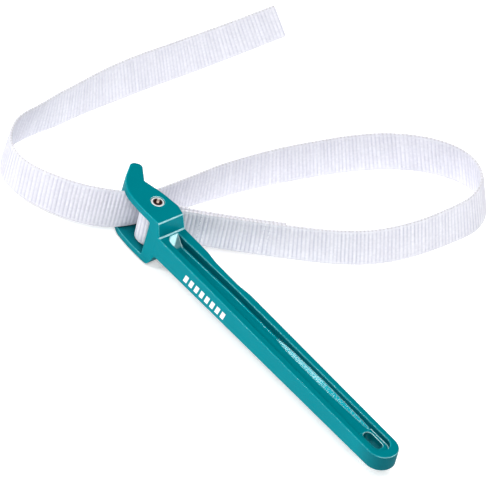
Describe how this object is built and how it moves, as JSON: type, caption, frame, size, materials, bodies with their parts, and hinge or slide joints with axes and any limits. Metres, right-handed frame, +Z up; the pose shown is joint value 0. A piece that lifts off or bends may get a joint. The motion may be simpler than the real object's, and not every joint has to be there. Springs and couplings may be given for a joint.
{
  "type": "oil filter strap wrench",
  "caption": "Long painted metal handle with a hooked two-eared head; a ribbed fabric strap sewn round the head's screw loops out and back through the head to grip a round filter.",
  "frame": {"origin": "on the pivot screw's axis, at the lower ear's outer face, on which the head rests", "axes": "+Z up along the pivot screw, +X along the handle towards its hanging slot, +Y on the side of the jaw's horn and the strap's loop"},
  "size_m": [0.3339, 0.251, 0.0344],
  "materials": {
    "casting_paint": "gloss teal paint on a die casting",
    "steel": "bright zinc-plated steel",
    "roller_steel": "drawn steel tube",
    "webbing": "white ribbed polyester webbing",
    "thread": "white polyester thread"
  },
  "bodies": {
    "handle": {"handle_casting": "casting_paint", "pivot_screw": "steel"},
    "roller": {"pin_roller": "roller_steel"},
    "strap": {"strap_fold": "webbing", "strap_eye": "webbing", "strap_loop": "webbing", "strap_tail": "webbing", "eye_stitching": "thread"}
  },
  "joints": [
    {"name": "roller_spin", "type": "hinge", "parent": "handle", "child": "roller", "pos_m": [0, 0, 0.0172], "axis": [0, 0, 1], "continuous": true},
    {"name": "strap_swing", "type": "hinge", "parent": "handle", "child": "strap", "pos_m": [0, 0, 0.0172], "axis": [0, 0, 1], "range_deg": [0, 35]}
  ]
}
